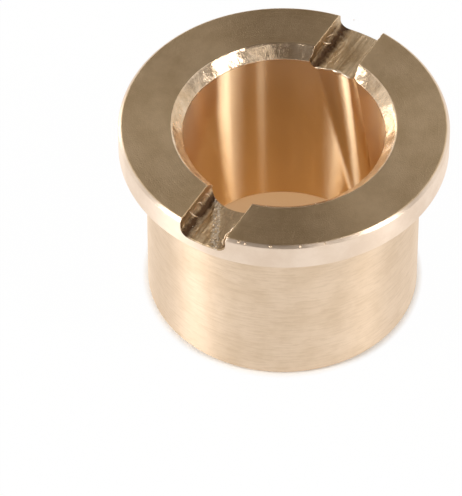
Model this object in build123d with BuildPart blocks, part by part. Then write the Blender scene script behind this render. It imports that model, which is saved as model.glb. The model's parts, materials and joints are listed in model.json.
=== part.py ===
from build123d import *

import os

# Flanged plain bearing bush, turned in one piece from bronze bar.
# Frame: axis along Z, the plain end stands on Z = 0 and the flange is on top.
# The thrust face on the flange is crossed by a milled oil slot along Y, and a
# helical oil groove leads down the bore from each end of the slot.

# Turned form
flange_diameter = 36.0
body_diameter = 30.0
bore_diameter = 22.0
overall_length = 24.0
flange_thickness = 3.4

# Edges left by the lathe
bore_chamfer = 1.25
rim_chamfer = 0.35
flange_edge_break = 0.15
end_chamfer = 0.3
root_fillet = 0.3

# Oil slot milled right across the thrust face
slot_width = 5.5
slot_depth = 2.0
slot_corner_radius = 1.1

# Oil grooves, cut by a round-nosed tool that follows a long right-hand helix.
# Each has its depth and the angle of its middle at the thrust face.
groove_nose_radius = 4.5
groove_turn = 33.0
groove_overrun = 2.0
shallow_groove = (0.5, 88.5)
deep_groove = (1.2, 274.5)

flange_radius = flange_diameter / 2
body_radius = body_diameter / 2
bore_radius = bore_diameter / 2
shoulder_height = overall_length - flange_thickness
slot_floor_height = overall_length - slot_depth

# One full turn of the helix would take this much travel.
groove_lead = overall_length * 360 / groove_turn
groove_degrees_per_mm = groove_turn / overall_length


def groove_path(groove_depth, top_angle):
    """The helix of the tool's centre, from below the bush to above it."""
    start_angle = top_angle - groove_turn - groove_degrees_per_mm * groove_overrun
    helix = Helix(
        pitch=groove_lead,
        height=overall_length + 2 * groove_overrun,
        radius=bore_radius + groove_depth - groove_nose_radius,
        center=(0, 0, -groove_overrun),
    )
    return helix.rotate(Axis.Z, start_angle)


groove_paths = [groove_path(*groove) for groove in (shallow_groove, deep_groove)]

with BuildPart() as bush:
    # Turned blank: the stepped half section, swung about the axis.
    with BuildSketch(Plane.XZ):
        with BuildLine():
            Polyline(
                (bore_radius, 0),
                (body_radius, 0),
                (body_radius, shoulder_height),
                (flange_radius, shoulder_height),
                (flange_radius, overall_length),
                (bore_radius, overall_length),
                close=True,
            )
        make_face()
    revolve(axis=Axis.Z)

    # Lead-in chamfers: both mouths of the bore, and the body's lower edge.
    rings = bush.edges().filter_by(GeomType.CIRCLE)
    chamfer(rings.group_by(SortBy.RADIUS)[0], length=bore_chamfer)
    body_rings = rings.group_by(SortBy.RADIUS)[1].sort_by(Axis.Z)
    chamfer(body_rings[0], length=end_chamfer)

    # The flange's lower edge is only broken, and its rim has a small chamfer.
    flange_rings = rings.group_by(SortBy.RADIUS)[-1].sort_by(Axis.Z)
    chamfer(flange_rings[0], length=flange_edge_break)
    chamfer(flange_rings[-1], length=rim_chamfer)

    # The shoulder's inner corner keeps the nose radius of the turning tool.
    fillet(body_rings[-1], radius=root_fillet)

    # Oil slot: a flat floor with the cutter's corner radii, open at the top.
    with BuildSketch(Plane.XZ):
        with Locations((0, slot_floor_height)):
            slot = Rectangle(slot_width, 2 * slot_depth, align=(Align.CENTER, Align.MIN))
        fillet(slot.vertices().group_by(Axis.Z)[0], radius=slot_corner_radius)
    extrude(amount=flange_radius + 1, both=True, mode=Mode.SUBTRACT)

    # Oil grooves: the round nose swept along each helix, past both ends.
    for path in groove_paths:
        with BuildSketch(Plane(origin=path @ 0, z_dir=path % 0)):
            Circle(groove_nose_radius)
        sweep(path=path, is_frenet=True, mode=Mode.SUBTRACT)

bush.part.label = "taper_bush"

os.makedirs("parts", exist_ok=True)
export_step(bush.part, "parts/taper_bush.step")
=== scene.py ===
import json
from math import asin, cos, pi, radians, sin, tan

import bmesh
import bpy
import numpy as np
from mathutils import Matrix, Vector


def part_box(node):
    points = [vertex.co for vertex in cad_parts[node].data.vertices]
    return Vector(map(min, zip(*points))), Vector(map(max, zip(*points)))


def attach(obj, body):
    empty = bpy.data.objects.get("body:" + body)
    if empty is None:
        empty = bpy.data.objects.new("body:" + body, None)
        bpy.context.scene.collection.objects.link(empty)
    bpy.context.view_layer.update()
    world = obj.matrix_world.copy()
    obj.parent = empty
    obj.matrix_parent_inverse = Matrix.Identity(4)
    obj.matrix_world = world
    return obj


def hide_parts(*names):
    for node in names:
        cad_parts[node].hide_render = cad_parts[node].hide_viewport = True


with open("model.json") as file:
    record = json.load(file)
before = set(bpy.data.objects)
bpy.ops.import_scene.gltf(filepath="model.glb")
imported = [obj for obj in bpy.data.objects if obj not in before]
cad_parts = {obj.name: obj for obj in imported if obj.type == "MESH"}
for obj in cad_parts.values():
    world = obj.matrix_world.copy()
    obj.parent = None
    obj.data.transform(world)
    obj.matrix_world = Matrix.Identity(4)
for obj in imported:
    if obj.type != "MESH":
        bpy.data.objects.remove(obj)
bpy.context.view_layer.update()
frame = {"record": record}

# ---------------------------------------------------------------------------
# Bush: one piece of bronze, turned, bored and faced from bar. An oil slot is
# milled across its thrust face, and an oil groove leads down the bore from
# each end of the slot.
# ---------------------------------------------------------------------------

# Sizes in millimetres. The frame gives the main ones, and the rest are the
# cuts that it doesn't list.
MM = 0.001
mounts = {mount["name"]: mount for mount in frame["record"]["mounts"]}
_, high_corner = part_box("taper_bush")
length = high_corner[2] / MM
flange_radius = high_corner[0] / MM
body_radius = mounts["body_outside"]["dims"]["r_mm"]
bore_radius = mounts["bore"]["dims"]["r_mm"]
shoulder_height = mounts["flange_seat"]["pos_m"][2] / MM
bore_chamfer = (length - mounts["bore"]["dims"]["length_mm"]) / 2
rim_chamfer = 0.35
flange_edge_break = 0.15
end_chamfer = 0.3
root_fillet = 0.3
edge_round = 0.06

slot_half_width = 2.75
slot_depth = 2.0
slot_floor = length - slot_depth
slot_corner_radius = 1.1
burr_height = 0.09

# Each groove has its depth, the angle of its middle at the thrust face, and
# half the angle that it spans at the bore.
groove_nose_radius = 4.5
groove_turn = 33.0
groove_turn_per_mm = groove_turn / length
grooves = [(0.5, 88.5, 13.5), (1.2, 274.5, 19.0)]
rng = np.random.default_rng(11)


def groove_cut(angle, height):
    """Depth of the two oil grooves in the bore wall, in mm.

    At psi degrees from a groove's middle, the round nose of the tool reaches
    the radius track * cos psi + sqrt(nose^2 - (track * sin psi)^2). What of
    that lies beyond the bore is the cut, and its edge is eased.
    """
    cut = 0
    for depth, top_angle, half_angle in grooves:
        track = bore_radius + depth - groove_nose_radius
        middle = top_angle - groove_turn_per_mm * (length - height)
        psi = np.radians(np.clip((angle - middle + 180) % 360 - 180, -34, 34))
        under_root = groove_nose_radius**2 - (track * np.sin(psi)) ** 2
        beyond = track * np.cos(psi) + np.sqrt(np.maximum(under_root, 0)) - bore_radius
        cut = cut + (beyond + np.sqrt(beyond**2 + edge_round**2 / 4)) / 2
    return cut


def face_height(radius):
    """Height of the flange's top over a radius, in mm.

    It is the lowest of three lines, eased where they meet: the bore's
    chamfer, the flat face and the rim's chamfer.
    """
    lines = [
        length - bore_chamfer + (radius - bore_radius),
        np.full_like(radius, length),
        length - rim_chamfer + (flange_radius - radius),
    ]
    ease = edge_round / 3
    height = -ease * np.log(sum(np.exp(-(line - length) / ease) for line in lines)) + length
    return np.minimum(height, length)


def quarter_round(distance):
    """How far a rounded edge lies under a sharp one, at a distance from it."""
    inside = np.clip(edge_round - distance, 0, edge_round)
    return edge_round - np.sqrt(edge_round**2 - inside**2)


def rounded_path(corners, radii):
    """A polyline in (radius, height) whose corners are turned into arcs.

    Each arc touches both runs at radius / tan(half the angle between them),
    and is drawn in four steps.
    """
    corners = np.asarray(corners, float)
    path = [corners[0]]
    for before, here, after, radius in zip(corners, corners[1:], corners[2:], radii):
        back = (before - here) / np.linalg.norm(before - here)
        ahead = (after - here) / np.linalg.norm(after - here)
        half = np.arccos(np.clip(back @ ahead, -1, 1)) / 2
        middle = back + ahead
        centre = here + middle / np.linalg.norm(middle) * radius / sin(half)
        start = here + back * radius / tan(half) - centre
        stop = here + ahead * radius / tan(half) - centre
        sweep = pi - 2 * half
        for share in np.linspace(0, 1, 5):
            near, far = sin((1 - share) * sweep), sin(share * sweep)
            path.append(centre + (start * near + stop * far) / sin(sweep))
    path.append(corners[-1])
    return np.array(path)


def slot_columns():
    """The lines that run round the bush's section, across one half turn.

    Each column is (angle at the bore, offset from the slot's axis, share of
    the full height, drop from the face, floor height, burr share). Outside
    the slot a column keeps its angle. In the slot it keeps its offset, and
    goes over the rounded edge, down the wall, round the cutter's corner and
    along the floor.
    """
    edge_angle = np.degrees(asin((slot_half_width + edge_round) / bore_radius))
    ease = np.array([-0.5, -0.25, 0, 0.25, 0.5])
    groove_edges = []
    for half_turn, (_, top_angle, half_angle) in zip((90, 270), grooves):
        middle = half_turn - top_angle + groove_turn_per_mm * (length - slot_floor)
        groove_edges += [middle - half_angle, middle + half_angle]
    groove_edges = np.abs(groove_edges)
    beside = [edge + ease for edge in groove_edges if edge > edge_angle]
    inside_slot = groove_edges[groove_edges < edge_angle]
    within = [bore_radius * sin(radians(edge)) + ease / 5 for edge in inside_slot]
    outside = np.unique(np.concatenate([np.linspace(edge_angle, 89.2, 74), *beside]))
    turn = np.radians(np.linspace(0, 90, 6))
    columns = [(angle, 0, 1, 0, 0, 0) for angle in outside[::-1]]
    for a in turn[1:]:
        offset = slot_half_width + edge_round * (1 - sin(a))
        columns.append((0, offset, 1, edge_round * (1 - cos(a)), 0, sin(a)))
    for share in (0.85, 0.6, 0.35, 0.12):
        columns.append((0, slot_half_width, share, edge_round, slot_corner_radius, (share - 0.1) / 1.5))
    for a in turn:
        offset = slot_half_width - slot_corner_radius * (1 - cos(a))
        columns.append((0, offset, 0, 0, slot_corner_radius * (1 - sin(a)), 0))
    floor = np.linspace(slot_half_width - slot_corner_radius, 0, 7)[1:-1]
    within = np.concatenate(within)
    within = within[(within > 0) & (within < slot_half_width - slot_corner_radius)]
    floor = np.unique(np.concatenate([floor, within]))
    columns += [(0, offset, 0, 0, 0, 0) for offset in floor[::-1]]
    one_side = np.array(columns)
    other_side = one_side[::-1] * [-1, -1, 1, 1, 1, 1]
    middle = np.zeros((1, 6))
    return np.vstack([one_side, middle, other_side])


columns = slot_columns()
half_turns = np.repeat([90.0, 270.0], len(columns))
angle_at_bore, offset, share, drop, corner_rise, burr_share = np.tile(columns, (2, 1)).T
in_slot = angle_at_bore == 0
edge_noise = rng.random((2 * len(columns), 64)) ** 3


def column_angles(radius):
    """Angle of every column at each radius, in degrees, as rows by columns.

    A column in the slot stays at asin(offset / radius) from the slot's axis.
    The others share out what is left between the slot's edge and 90 degrees.
    """
    radius = np.broadcast_to(radius, (len(radius), len(offset)))
    edge_here = np.degrees(np.arcsin((slot_half_width + edge_round) / radius))
    edge_bore = np.degrees(np.arcsin((slot_half_width + edge_round) / bore_radius))
    stretch = (90 - edge_here) / (90 - edge_bore)
    outside = edge_here + (np.abs(angle_at_bore) - edge_bore) * stretch
    side = np.sign(offset + angle_at_bore)
    burr_row = np.clip(((radius - bore_radius) * 8).astype(int), 0, 62)
    lane = np.where(side > 0, 0, 1) + np.where(half_turns > 180, 2, 0)
    burr = edge_noise[lane, burr_row] * burr_height * burr_share
    inside = np.degrees(np.arcsin((np.abs(offset) - burr) / radius))
    return half_turns - side * np.where(in_slot, inside, outside)


def bush_surface():
    """The bush as one closed grid of rows (round the section) by columns.

    Rows run up the bore, over the face, down the rim, under the flange, down
    the body and across the end. Up the bore the columns lean with the oil
    grooves, so that their edges follow them, and on the body they lean back.
    """
    lean = groove_turn_per_mm
    start_radius = np.full((1, 1), bore_radius)
    angle_bore = column_angles(start_radius)
    floor = slot_floor + corner_rise

    # Height and groove depth at the top of the bore, column by column
    groove_top = groove_cut(angle_bore, np.where(share > 0.5, length - bore_chamfer, slot_floor))

    # Over the face, from the bore to the rim
    flat_start = bore_radius + bore_chamfer + edge_round
    flat_stop = flange_radius - rim_chamfer - edge_round
    ease = edge_round * np.array([0, 0.08, 0.3, 0.6, 1.0])
    radii = np.concatenate([
        bore_radius + ease,
        bore_radius + np.linspace(0.15, bore_chamfer, 6),
        np.linspace(flat_start, flat_stop, 42),
        flange_radius - np.linspace(rim_chamfer, 0.1, 4),
        flange_radius - ease[::-1],
    ])[:, None]
    fade = np.clip(1 - (radii - bore_radius) / bore_chamfer, 0, 1)
    face_radius = radii + groove_top * fade
    top = face_height(face_radius) - drop
    face = share * top + (1 - share) * floor
    face = face - quarter_round(radii - bore_radius) - quarter_round(flange_radius - radii)
    face_angle = column_angles(face_radius)

    # Up the bore
    climb = np.linspace(0, 1, 66)[:-1, None]
    bottom_angle = angle_bore + lean * (bore_chamfer - slot_floor)
    groove_bottom = groove_cut(bottom_angle, bore_chamfer)
    first_row = bore_chamfer + 0.08
    foot = first_row - groove_bottom
    bore = foot + (face[0] - foot) * climb
    bore_angle = angle_bore + lean * (np.minimum(bore, slot_floor) - slot_floor)
    wall_radius = bore_radius + groove_cut(bore_angle, bore)

    # Down the rim of the flange
    descend = np.linspace(0, 1, 9)[1:-1, None]
    rim_foot = shoulder_height + flange_edge_break + 0.05
    rim = face[-1] + (rim_foot - face[-1]) * descend
    rim_radius = np.full_like(rim, flange_radius)
    rim_angle = column_angles(np.full((len(rim), 1), flange_radius))

    # Under the flange, down the body, across the end and into the bore
    under = rounded_path(
        [
            (flange_radius, rim_foot),
            (flange_radius, shoulder_height + flange_edge_break),
            (flange_radius - flange_edge_break, shoulder_height),
            (body_radius, shoulder_height),
            (body_radius, end_chamfer),
            (body_radius - end_chamfer, 0),
            (bore_radius + bore_chamfer, 0),
            (bore_radius, bore_chamfer),
            (bore_radius, first_row),
        ],
        [0.05, 0.05, root_fillet] + [edge_round] * 4,
    )
    body_top = shoulder_height - root_fillet
    last_of_root = int(np.argmin(np.abs(under[:, 1] - body_top)))
    span = np.linspace(under[last_of_root], under[last_of_root + 1], 30)[1:-1]
    under = np.vstack([under[: last_of_root + 1], span, under[last_of_root + 1 :]])[:-1]
    under_radius, under_height = under[:, :1], under[:, 1:]
    near_bore = np.clip(1 - (under_radius - bore_radius) / bore_chamfer, 0, 1)
    near_bore = near_bore * (under_height < length / 2)
    end_radius = under_radius + groove_bottom * near_bore
    end_height = under_height - groove_bottom * near_bore
    unwind = np.clip((body_top - under_height) / (body_top - 1), 0, 1)
    end_angle = column_angles(end_radius) + lean * (bore_chamfer - slot_floor) * unwind

    radius = np.vstack([wall_radius, face_radius, rim_radius, end_radius])
    height = np.vstack([bore, face, rim, np.broadcast_to(end_height, end_radius.shape)])
    angle = np.radians(np.vstack([bore_angle, face_angle, rim_angle, end_angle]))
    points = np.stack([radius * np.cos(angle), radius * np.sin(angle), height], axis=-1)

    # Which cut made each row: 0 turned, 1 faced, 2 bored, 3 milled, 4 chamfered, 5 rim
    cut = np.where(radius > flange_radius - rim_chamfer, 5, 0)
    cut[: len(bore)] = 2
    flat = (radii[:, 0] > bore_radius + bore_chamfer) & (radii[:, 0] < flange_radius - rim_chamfer)
    first_face_row = len(bore)
    cut[first_face_row : first_face_row + len(radii)][flat] = 1
    cut[first_face_row : first_face_row + len(radii)][radii[:, 0] <= bore_radius + bore_chamfer] = 4
    slot_part = in_slot & (share < 1)
    cut[first_face_row : first_face_row + len(radii), slot_part] = 3
    return points, cut


def grid_mesh(name, points, cut):
    """A mesh from a grid of points that closes on itself both ways.

    Columns that fall on each other, at an angle where both grooves have an
    edge, are welded.
    """
    rows, cols = points.shape[:2]
    here = np.arange(rows * cols).reshape(rows, cols)
    right = np.roll(here, -1, axis=1)
    above = np.roll(here, -1, axis=0)
    corner = np.roll(right, -1, axis=0)
    faces = np.stack([here, above, corner, right], axis=-1).reshape(-1, 4)
    mesh = bpy.data.meshes.new(name)
    mesh.vertices.add(rows * cols)
    mesh.vertices.foreach_set("co", (points * MM).astype(np.float32).ravel())
    mesh.loops.add(faces.size)
    mesh.loops.foreach_set("vertex_index", faces.astype(np.int32).ravel())
    mesh.polygons.add(len(faces))
    mesh.polygons.foreach_set("loop_start", np.arange(0, faces.size, 4, dtype=np.int32))
    mesh.polygons.foreach_set("material_index", cut.astype(np.int32).ravel())
    mesh.update(calc_edges=True)
    mesh.validate()
    welded = bmesh.new()
    welded.from_mesh(mesh)
    bmesh.ops.remove_doubles(welded, verts=welded.verts, dist=1e-8)
    welded.to_mesh(mesh)
    welded.free()
    mesh.shade_smooth()
    mesh.set_sharp_from_angle(angle=radians(32))
    return mesh


bush = bpy.data.objects.new("bronze_bush", grid_mesh("bronze_bush", *bush_surface()))

# Finishes of the bush: bare bronze, lightly oiled. Every cut leaves its own
# fine parallel marks, which stretch a highlight across them.


def linear(hex_colour):
    """An sRGB hex colour as linear RGBA."""
    srgb = [int(hex_colour[i : i + 2], 16) / 255 for i in (1, 3, 5)]
    return [c / 12.92 if c <= 0.04045 else ((c + 0.055) / 1.055) ** 2.4 for c in srgb] + [1.0]


def add(tree, kind, inputs, **settings):
    """Adds a node. Each input is a value, or a socket to link from.

    The inputs are a list in the order of the node's sockets, or a dict by
    socket. On a mix of colours, 0 is the share and 6 and 7 the colours.
    """
    node = tree.nodes.new(kind)
    for key, value in settings.items():
        setattr(node, key, value)
    for key, value in inputs.items() if isinstance(inputs, dict) else enumerate(inputs):
        if isinstance(value, bpy.types.NodeSocket):
            tree.links.new(value, node.inputs[key])
        else:
            node.inputs[key].default_value = value
    return node


def bare_bronze(name, colours, roughness, anisotropy):
    """Bare bronze, before its marks.

    Its colour drifts between two tones in patches of about 4 mm. Gives the
    material, its node tree, the shader and the object coordinates in mm.
    """
    material = bpy.data.materials.new(name)
    material.use_nodes = True
    tree = material.node_tree
    shader = tree.nodes["Principled BSDF"]
    shader.inputs["Metallic"].default_value = 1.0
    shader.inputs["Roughness"].default_value = roughness
    shader.inputs["Anisotropic"].default_value = anisotropy
    shader.inputs["Anisotropic Rotation"].default_value = 0.25
    place = add(tree, "ShaderNodeTexCoord", []).outputs["Object"]
    in_mm = {0: place, "Scale": 1 / MM}
    place = add(tree, "ShaderNodeVectorMath", in_mm, operation="SCALE").outputs[0]
    patches = {"Vector": place, "Scale": 0.26, "Detail": 5.0, "Roughness": 0.65}
    patches = add(tree, "ShaderNodeTexNoise", patches).outputs[0]
    share = add(tree, "ShaderNodeMapRange", [patches, 0.38, 0.64]).outputs[0]
    light, dark = (linear(colour) for colour in colours)
    mix = add(tree, "ShaderNodeMix", {0: share, 6: light, 7: dark}, data_type="RGBA").outputs[2]
    tree.links.new(mix, shader.inputs["Base Color"])
    return material, tree, shader, place


def stained(tree, shader, share, colour):
    """Mixes a second colour into the shader's own, by a pattern from 0 to 1."""
    bare = shader.inputs["Base Color"].links[0].from_socket
    mix = {0: share, 6: bare, 7: linear(colour)}
    mix = add(tree, "ShaderNodeMix", mix, data_type="RGBA").outputs[2]
    tree.links.new(mix, shader.inputs["Base Color"])


def tool_marks(tree, place, across, pitch, run):
    """Noise in parallel lines: pitch mm apart, each about run mm long."""
    axes = add(tree, "ShaderNodeSeparateXYZ", [place]).outputs
    spaced = add(tree, "ShaderNodeMath", [across, 1 / pitch], operation="MULTIPLY").outputs[0]
    x, y = (
        add(tree, "ShaderNodeMath", [axes[i], 1 / run], operation="MULTIPLY").outputs[0]
        for i in (0, 1)
    )
    lined = add(tree, "ShaderNodeCombineXYZ", [x, y, spaced]).outputs[0]
    marks = {"Vector": lined, "Scale": 1.0, "Detail": 3.0, "Roughness": 0.6}
    return add(tree, "ShaderNodeTexNoise", marks).outputs[0]


def cut_into(tree, shader, height, depth, under=None):
    """Bumps the surface by a height pattern of so many mm, over another bump."""
    inputs = {"Height": height, "Strength": 1.0, "Distance": depth * MM}
    if under:
        inputs["Normal"] = under
    bump = add(tree, "ShaderNodeBump", inputs).outputs[0]
    tree.links.new(bump, shader.inputs["Normal"])
    return bump


def turned_bronze():
    """The body: turning marks run round it and leave it satin.

    Light stands on it in soft upright bands. The real feed is finer than
    0.1 mm, and 0.25 mm is the finest that still reads as lines. Worn marks
    are a shade browner.
    """
    colours = ("#F1D8BC", "#E8CEB0")
    material, tree, shader, place = bare_bronze("turned_bronze", colours, 0.40, 0.88)
    upward = add(tree, "ShaderNodeSeparateXYZ", [place]).outputs["Z"]
    feed = tool_marks(tree, place, upward, pitch=0.25, run=2.0)
    cut_into(tree, shader, feed, depth=0.05)
    worn = add(tree, "ShaderNodeMapRange", [feed, 0.45, 0.65, 0.0, 0.3]).outputs[0]
    stained(tree, shader, worn, "#D2B594")
    return material


def rim_bronze():
    """The flange's rim: the same cut, its colours painted brighter, as a painted reflection of the
    brighter paper further out.
    """
    # Colours painted brighter and paler than the body's: a painted reflection of the far paper
    colours = ("#FAE5D0", "#F0D9C2")
    material, tree, shader, place = bare_bronze("rim_bronze", colours, 0.38, 0.88)
    upward = add(tree, "ShaderNodeSeparateXYZ", [place]).outputs["Z"]
    cut_into(tree, shader, tool_marks(tree, place, upward, pitch=0.35, run=6.0), depth=0.04)
    return material


def faced_bronze():
    """The thrust face: faced across, so that its marks are rings.

    It is darker and more olive than the rest, with a grain of about 0.15 mm.
    """
    colours = ("#EDD0A8", "#DCBE94")
    material, tree, shader, place = bare_bronze("faced_bronze", colours, 0.28, 0.85)
    flat = add(tree, "ShaderNodeVectorMath", [place, (1, 1, 0)], operation="MULTIPLY").outputs[0]
    from_axis = add(tree, "ShaderNodeVectorMath", [flat], operation="LENGTH").outputs["Value"]
    rings = tool_marks(tree, place, from_axis, pitch=0.3, run=5.0)
    bump = cut_into(tree, shader, rings, depth=0.02)
    grain = {"Vector": place, "Scale": 7.0, "Detail": 1.0}
    cut_into(tree, shader, add(tree, "ShaderNodeTexNoise", grain).outputs[0], 0.028, bump)
    return material


def bored_bronze():
    """The bore: reamed, the smoothest cut, with sharp upright streaks of light.

    It is a deep orange, partly because light goes from wall to wall, and partly
    because its colours are painted a deeper orange for that light. A second
    reflection, drawn out along the bore, gives the streaks.
    """
    # Colours painted a deeper orange than the other cuts', as painted light bounced from wall to wall
    colours = ("#F0CB94", "#E8C184")
    material, tree, shader, place = bare_bronze("bored_bronze", colours, 0.22, 0.6)
    upward = add(tree, "ShaderNodeSeparateXYZ", [place]).outputs["Z"]
    reamed = tool_marks(tree, place, upward, pitch=0.4, run=12.0)
    bump = cut_into(tree, shader, reamed, depth=0.015)
    streaks = {"Color": linear("#F6DCB6"), "Roughness": 0.36, "Anisotropy": 0.86, "Normal": bump}
    streaks = add(tree, "ShaderNodeBsdfAnisotropic", streaks, distribution="BECKMANN").outputs[0]
    both = add(tree, "ShaderNodeMixShader", [0.45, shader.outputs[0], streaks]).outputs[0]
    tree.links.new(both, tree.nodes["Material Output"].inputs["Surface"])
    return material


def chamfered_bronze():
    """The bore's chamfer: cut with a chattering tool, and nicked.

    Light and dark patches of about 3 mm follow each other round it.
    """
    colours = ("#EBD3B6", "#D0B390")
    material, tree, shader, place = bare_bronze("chamfered_bronze", colours, 0.24, 0.3)
    chatter = {"Vector": place, "Scale": 0.3, "Detail": 2.0, "Roughness": 0.4}
    bump = cut_into(tree, shader, add(tree, "ShaderNodeTexNoise", chatter).outputs[0], 0.34)
    nicks = {"Vector": place, "Scale": 2.2, "Detail": 3.0, "Roughness": 0.6}
    cut_into(tree, shader, add(tree, "ShaderNodeTexNoise", nicks).outputs[0], 0.035, bump)
    return material


def milled_bronze():
    """The slot: milled along its length and left rough.

    Streaks are as wide as the cutter's teeth, and a band just above the
    left-hand corner is darker brown. At the front end the floor is darker
    to the right of a rough grey line that crosses it.
    """
    colours = ("#E6CCA8", "#CBAC84")
    material, tree, shader, place = bare_bronze("milled_bronze", colours, 0.36, 0.5)
    axes = add(tree, "ShaderNodeSeparateXYZ", [place]).outputs
    passes = tool_marks(tree, place, axes["X"], pitch=0.7, run=9.0)
    bump = cut_into(tree, shader, passes, depth=0.25)
    torn = {"Vector": place, "Scale": 1.6, "Detail": 4.0, "Roughness": 0.6}
    torn = add(tree, "ShaderNodeTexNoise", torn).outputs[0]
    bump = cut_into(tree, shader, torn, 0.24, bump)
    streaks = add(tree, "ShaderNodeMapRange", [passes, 0.42, 0.60, 0.0, 0.7]).outputs[0]
    stained(tree, shader, streaks, "#977C59")

    # Darker brown, near a line just above the left-hand corner
    corner = (0.62 - slot_half_width, 0, slot_floor + 0.25)
    section = add(tree, "ShaderNodeVectorMath", [place, (1, 0, 1)], operation="MULTIPLY").outputs[0]
    gap = add(tree, "ShaderNodeVectorMath", [section, corner], operation="DISTANCE").outputs["Value"]
    gap = add(tree, "ShaderNodeMath", [gap, torn], operation="ADD").outputs[0]
    corner_dark = add(tree, "ShaderNodeMapRange", [gap, 0.75, 1.4, 1.0, 0.0]).outputs[0]
    stained(tree, shader, corner_dark, "#4E3826")

    # The darker part of the front end's floor, and the rough line at its edge, which runs aslant
    line_slope, line_offset = 0.49, -7.3
    front = add(tree, "ShaderNodeMath", [axes["Y"], 0.0], operation="LESS_THAN").outputs[0]
    slope = [place, (1, line_slope, 0)]
    aslant = add(tree, "ShaderNodeVectorMath", slope, operation="DOT_PRODUCT").outputs["Value"]
    darker_front = add(tree, "ShaderNodeMapRange", [aslant, -7.1, -6.6, 0.0, 0.85]).outputs[0]
    darker_front = add(tree, "ShaderNodeMath", [darker_front, front], operation="MULTIPLY").outputs[0]
    stained(tree, shader, darker_front, "#AE9372")
    pits = {"Vector": place, "Scale": 3.5, "Detail": 2.0}
    pits = add(tree, "ShaderNodeTexNoise", pits).outputs[0]
    gap = add(tree, "ShaderNodeMath", [aslant, line_offset], operation="SUBTRACT").outputs[0]
    gap = add(tree, "ShaderNodeMath", [gap], operation="ABSOLUTE").outputs[0]
    line = add(tree, "ShaderNodeMapRange", [gap, 0.3, 1.0, 1.0, 0.0]).outputs[0]
    line = add(tree, "ShaderNodeMath", [line, front], operation="MULTIPLY").outputs[0]
    line = add(tree, "ShaderNodeMath", [line, pits], operation="MULTIPLY").outputs[0]
    grey = add(tree, "ShaderNodeMapRange", [line, 0.36, 0.58, 0.0, 0.8]).outputs[0]
    stained(tree, shader, grey, "#D2C3B0")
    cut_into(tree, shader, line, 0.25, bump)
    return material


# In the order of the numbers that the mesh gives its cuts
bush.data.materials.append(turned_bronze())
bush.data.materials.append(faced_bronze())
bush.data.materials.append(bored_bronze())
bush.data.materials.append(milled_bronze())
bush.data.materials.append(chamfered_bronze())
bush.data.materials.append(rim_bronze())
bpy.context.collection.objects.link(bush)
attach(bush, "root")
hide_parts("taper_bush")

# ---------------------------------------------------------------------------
# Burrs: slivers that the cutter left curled over in the slot, and specks of
# swarf along the edges. They are thin closed tubes, tapered to both ends, of
# torn bronze, which is bright and paler than any cut face.
# ---------------------------------------------------------------------------


def slivers(starts, ends, bows, thickness):
    """Tapered tubes, one for each start and end, in mm.

    The middle line runs straight from start to end, plus bow * sin(pi t).
    The tube's radius is thickness * sqrt(sin(pi t)), from t = 0.02 to 0.98.
    """
    t = np.linspace(0.02, 0.98, 9)[None, :, None]
    around = np.linspace(0, 2 * pi, 7)[:-1]
    starts, ends, bows = (np.asarray(part, float)[:, None, :] for part in (starts, ends, bows))
    line = starts + (ends - starts) * t + bows * np.sin(pi * t)
    ahead = np.gradient(line, axis=1)
    ahead /= np.linalg.norm(ahead, axis=-1, keepdims=True)
    first = np.cross(ahead, [0.31, 0.52, 0.79])
    first /= np.linalg.norm(first, axis=-1, keepdims=True)
    second = np.cross(ahead, first)
    radius = np.asarray(thickness, float)[:, None, None] * np.sqrt(np.sin(pi * t))
    turn = first[:, :, None] * np.cos(around)[:, None] + second[:, :, None] * np.sin(around)[:, None]
    return line[:, :, None] + turn * radius[:, :, None]


def tube_mesh(name, points):
    """One mesh of closed tubes, from (tubes, rings, sides) points."""
    tubes, rings, sides = points.shape[:3]
    here = np.arange(tubes * rings * sides).reshape(tubes, rings, sides)
    beside = np.roll(here, -1, axis=2)
    quads = np.stack([here[:, :-1], beside[:, :-1], beside[:, 1:], here[:, 1:]], axis=-1).reshape(-1, 4)
    ends = np.vstack([here[:, 0, ::-1], here[:, -1]])
    mesh = bpy.data.meshes.new(name)
    mesh.from_pydata((points.reshape(-1, 3) * MM).tolist(), [], quads.tolist() + ends.tolist())
    mesh.shade_smooth()
    return mesh


def on_circle(radius, angle, height):
    """Points at a radius and a height, at angles in degrees round the axis."""
    angle = np.radians(angle)
    return np.stack([radius * np.cos(angle), radius * np.sin(angle), height], axis=-1)


# Curled slivers start on the slot's left wall, and end over its floor. Each
# has its start, its end, its bow and its thickness.
wall = -slot_half_width
burr_list = [
    ((wall, -15.9, 23.7), (-1.9, -15.4, 22.7), (0.2, -0.3, 0.15), 0.09),
    ((wall, -14.3, 23.3), (-2.2, -14.0, 23.1), (0, 0.1, 0.2), 0.08),
    ((wall, -12.6, 23.2), (-2.3, -12.3, 22.8), (0.1, 0, 0.2), 0.06),
    ((wall, 13.6, 23.3), (-2.0, 14.3, 22.8), (0.1, -0.3, 0.1), 0.12),
    ((wall, 14.4, 23.2), (-2.2, 15.1, 23.3), (0.1, 0.2, 0.1), 0.09),
]

# Torn metal along the slot's right lip
burr_list += [
    ((2.45, -17.6, 22.6), (2.45, -17.5, 23.6), (-0.1, 0, 0), 0.15),
    ((2.4, -17.3, 23.0), (2.5, -16.7, 23.8), (-0.1, 0, 0.05), 0.12),
    ((2.45, -16.9, 22.9), (2.5, -16.2, 23.6), (-0.1, 0, 0), 0.16),
    ((2.4, -16.3, 23.0), (2.6, -15.6, 23.8), (0, 0, 0.1), 0.10),
    ((2.6, -12.4, 22.6), (2.5, -11.9, 23.1), (0, 0, 0.1), 0.06),
]

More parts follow.
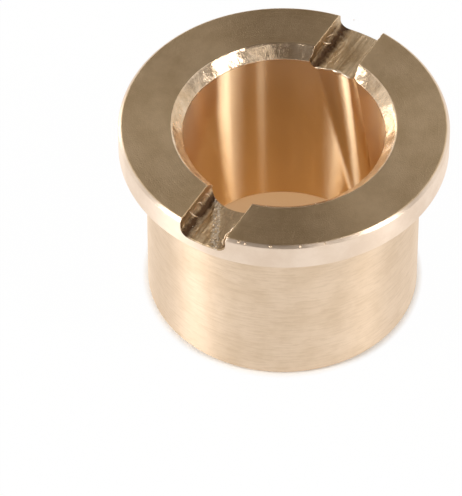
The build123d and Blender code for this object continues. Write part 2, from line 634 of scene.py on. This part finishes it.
# The lip that the cutter pushed over the bore, at the back end of the slot
lip_angle = np.array([101.5, 97.5, 92.0, 86.5, 80.5])
lip_radius = bore_radius + groove_cut(lip_angle, slot_floor) + 0.02
lip = on_circle(lip_radius, lip_angle, np.full(len(lip_angle), slot_floor + 0.01))
lip_end = lip[1:] + 0.2 * (lip[1:] - lip[:-1])
burr_list += zip(lip[:-1], lip_end, [(0, -0.03, 0)] * 4, [0.17, 0.13, 0.21, 0.15])

# Crumbs on the rim's chamfer, to the right of the slot's front end
crumb_angle = np.array([-77.0, -74.5, -66.0, -55.5, -47.0])
crumbs = on_circle(flange_radius - 0.12, crumb_angle, np.full(len(crumb_angle), length - 0.12))
crumb_reach = [[0.3, 0.02, 0], [0.16, 0, -0.1], [0.35, 0.1, 0], [0.1, 0.1, -0.12], [0.2, 0.14, 0]]
burr_list += zip(crumbs, crumbs + crumb_reach, [(0, 0, 0.02)] * 5, [0.10, 0.13, 0.09, 0.13, 0.08])

# Specks of swarf: every third one on the rim's chamfer, the others along the
# bore's chamfer
specks = 34
on_rim = np.arange(specks) % 3 == 0
speck_radius = np.where(on_rim, flange_radius - 0.2, bore_radius + rng.uniform(0.1, 1.1, specks))
speck_angle = np.degrees(rng.uniform(0, 2 * pi, specks))
speck_start = on_circle(speck_radius, speck_angle, face_height(speck_radius) - 0.02)
speck_end = speck_start + rng.uniform(-0.16, 0.16, (specks, 3)) * [1, 1, 0.2]
speck_bow = rng.uniform(-0.03, 0.03, (specks, 3))
burr_list += zip(speck_start, speck_end, speck_bow, rng.uniform(0.02, 0.05, specks))

burrs = bpy.data.objects.new("burrs", tube_mesh("burrs", slivers(*zip(*burr_list))))
burrs.data.materials.append(bare_bronze("torn_bronze", ("#F4E4CE", "#DCC3A2"), 0.42, 0.0)[0])
bpy.context.collection.objects.link(burrs)
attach(burrs, "root")

# ---------------------------------------------------------------------------
# Stage: white paper in a pale tent, upright soft boxes at the sides, a low
# card behind and the camera. None of it is the bush.
# ---------------------------------------------------------------------------

# The camera looks in from this side, and the tent opens towards it and away.
camera_azimuth, camera_elevation = radians(-60.46), radians(47.9)
camera_distance = 584.1 * MM
backward = (-cos(camera_azimuth), -sin(camera_azimuth), 0)
sideways = (-sin(camera_azimuth), cos(camera_azimuth), 0)


def white_paper():
    """White paper that reads as white, and keeps a faint shadow.

    Rays from the camera or off metal see it mixed with plain white. The
    share of white falls to nothing at the bush's foot. Inside the bore the
    paper shows the warm light that the wall throws on it, stronger towards
    the back, which paths don't bring.
    """
    pool_radius = bore_radius + 2
    shadow_width = 0.7
    material = bpy.data.materials.new("white_paper")
    material.use_nodes = True
    tree = material.node_tree
    tree.nodes.clear()
    rays = add(tree, "ShaderNodeLightPath", []).outputs
    seen = [rays["Is Camera Ray"], rays["Is Glossy Ray"]]
    seen = add(tree, "ShaderNodeMath", seen, operation="MAXIMUM").outputs[0]
    seen = [seen, rays["Is Transmission Ray"]]
    seen = add(tree, "ShaderNodeMath", seen, operation="MAXIMUM").outputs[0]

    place = add(tree, "ShaderNodeTexCoord", []).outputs["Object"]
    far = add(tree, "ShaderNodeVectorMath", [place], operation="LENGTH").outputs["Value"]
    foot = [far, body_radius * MM, (body_radius + shadow_width) * MM, 0.0, 0.98]
    white_share = add(tree, "ShaderNodeMapRange", foot).outputs[0]
    outside = [far, pool_radius * MM]
    outside = add(tree, "ShaderNodeMath", outside, operation="GREATER_THAN").outputs[0]
    white_share = add(tree, "ShaderNodeMix", {0: outside, 2: 0.8, 3: white_share}).outputs[0]
    white_share = add(tree, "ShaderNodeMath", [white_share, seen], operation="MULTIPLY").outputs[0]

    glow = {0: outside, 6: (0.60, 0.34, 0.16, 1), 7: (1, 1, 1, 1)}
    glow = add(tree, "ShaderNodeMix", glow, data_type="RGBA").outputs[2]
    depth = [place, backward]
    depth = add(tree, "ShaderNodeVectorMath", depth, operation="DOT_PRODUCT").outputs["Value"]
    depth = [depth, -bore_radius * MM, bore_radius * MM, 0.5, 1.0]
    depth = add(tree, "ShaderNodeMapRange", depth).outputs[0]
    strength = add(tree, "ShaderNodeMath", [depth, outside], operation="MAXIMUM").outputs[0]

    sheet = add(tree, "ShaderNodeBsdfDiffuse", {"Color": linear("#F4F4F2")}).outputs[0]
    light = add(tree, "ShaderNodeEmission", {"Color": glow, "Strength": strength}).outputs[0]
    both = add(tree, "ShaderNodeMixShader", [white_share, sheet, light]).outputs[0]
    add(tree, "ShaderNodeOutputMaterial", {"Surface": both})
    return material


reach = 3.0
corners = [(-reach, -reach, 0), (reach, -reach, 0), (reach, reach, 0), (-reach, reach, 0)]
floor_mesh = bpy.data.meshes.new("floor")
floor_mesh.from_pydata(corners, [], [(0, 1, 2, 3)])
floor = bpy.data.objects.new("floor", floor_mesh)
floor_mesh.materials.append(white_paper())
bpy.context.collection.objects.link(floor)

# The tent is dim and warm overhead, and bright in two bands behind the bush
# and all round just above the paper.
world = bpy.data.worlds.new("tent")
bpy.context.scene.world = world
world.use_nodes = True
tent = world.node_tree
direction = add(tent, "ShaderNodeTexCoord", []).outputs["Generated"]
rise = add(tent, "ShaderNodeSeparateXYZ", [direction]).outputs["Z"]
across = [direction, sideways]
across = add(tent, "ShaderNodeVectorMath", across, operation="DOT_PRODUCT").outputs["Value"]
across = add(tent, "ShaderNodeMath", [across], operation="ABSOLUTE").outputs[0]
behind = [direction, backward]
behind = add(tent, "ShaderNodeVectorMath", behind, operation="DOT_PRODUCT").outputs["Value"]
behind = add(tent, "ShaderNodeMapRange", [behind, 0.0, 0.3]).outputs[0]
band = [across, 0.12, 0.42, 0.0, 0.85]
band = add(tent, "ShaderNodeMapRange", band, interpolation_type="SMOOTHSTEP").outputs[0]
band = add(tent, "ShaderNodeMath", [band, behind], operation="MULTIPLY").outputs[0]
band = add(tent, "ShaderNodeMath", [band, 0.15], operation="ADD").outputs[0]
low = [rise, sin(radians(10)), sin(radians(30)), 1.0, 0.0]
low = add(tent, "ShaderNodeMapRange", low, interpolation_type="SMOOTHSTEP").outputs[0]
bright = add(tent, "ShaderNodeMath", [band, low], operation="MAXIMUM").outputs[0]
warmth = add(tent, "ShaderNodeMapRange", [bright, 0.25, 0.6]).outputs[0]
tint = {0: warmth, 6: (1, 0.86, 0.73, 1), 7: (1, 1, 1, 1)}
tint = add(tent, "ShaderNodeMix", tint, data_type="RGBA").outputs[2]
tent.links.new(bright, tent.nodes["Background"].inputs["Strength"])
tent.links.new(tint, tent.nodes["Background"].inputs["Color"])


def soft_box(name, azimuth, width, bottom, top, radiance):
    """An upright soft box, 0.4 m from the axis. All lengths are in metres.

    The power that gives a face of this area its radiance is
    radiance * pi * area.
    """
    lamp = bpy.data.lights.new(name, "AREA")
    lamp.shape = "RECTANGLE"
    lamp.size, lamp.size_y = width, top - bottom
    lamp.energy = radiance * pi * width * (top - bottom)
    away = Vector((cos(radians(azimuth)), sin(radians(azimuth)), 0))
    box = bpy.data.objects.new(name, lamp)
    box.location = away * 0.4 + Vector((0, 0, (bottom + top) / 2))
    box.rotation_euler = away.to_track_quat("Z", "Y").to_euler()
    bpy.context.collection.objects.link(box)


soft_box("left_box", azimuth=-127.5, width=0.13, bottom=0.06, top=0.82, radiance=8.5)
soft_box("right_box", azimuth=4.5, width=0.09, bottom=0.16, top=0.86, radiance=10.5)
soft_box("low_card", azimuth=168, width=0.14, bottom=0.02, top=0.13, radiance=3.0)
soft_box("front_gap", azimuth=-36, width=0.05, bottom=0.10, top=0.90, radiance=1.8)

# The camera is far off with a long lens, and aimed just beside the axis.
lens = bpy.data.cameras.new("camera")
lens.lens = 381.2
lens.sensor_width = 36
lens.clip_start, lens.clip_end = 0.05, 10
camera = bpy.data.objects.new("camera", lens)
aim = Vector((-5.0, -2.83, 3.96)) * MM
away = Vector((
    cos(camera_azimuth) * cos(camera_elevation),
    sin(camera_azimuth) * cos(camera_elevation),
    sin(camera_elevation),
))
camera.location = aim + away * camera_distance
camera.rotation_euler = away.to_track_quat("Z", "Y").to_euler()
bpy.context.collection.objects.link(camera)
bpy.context.scene.camera = camera
bpy.context.scene.view_settings.view_transform = "Standard"
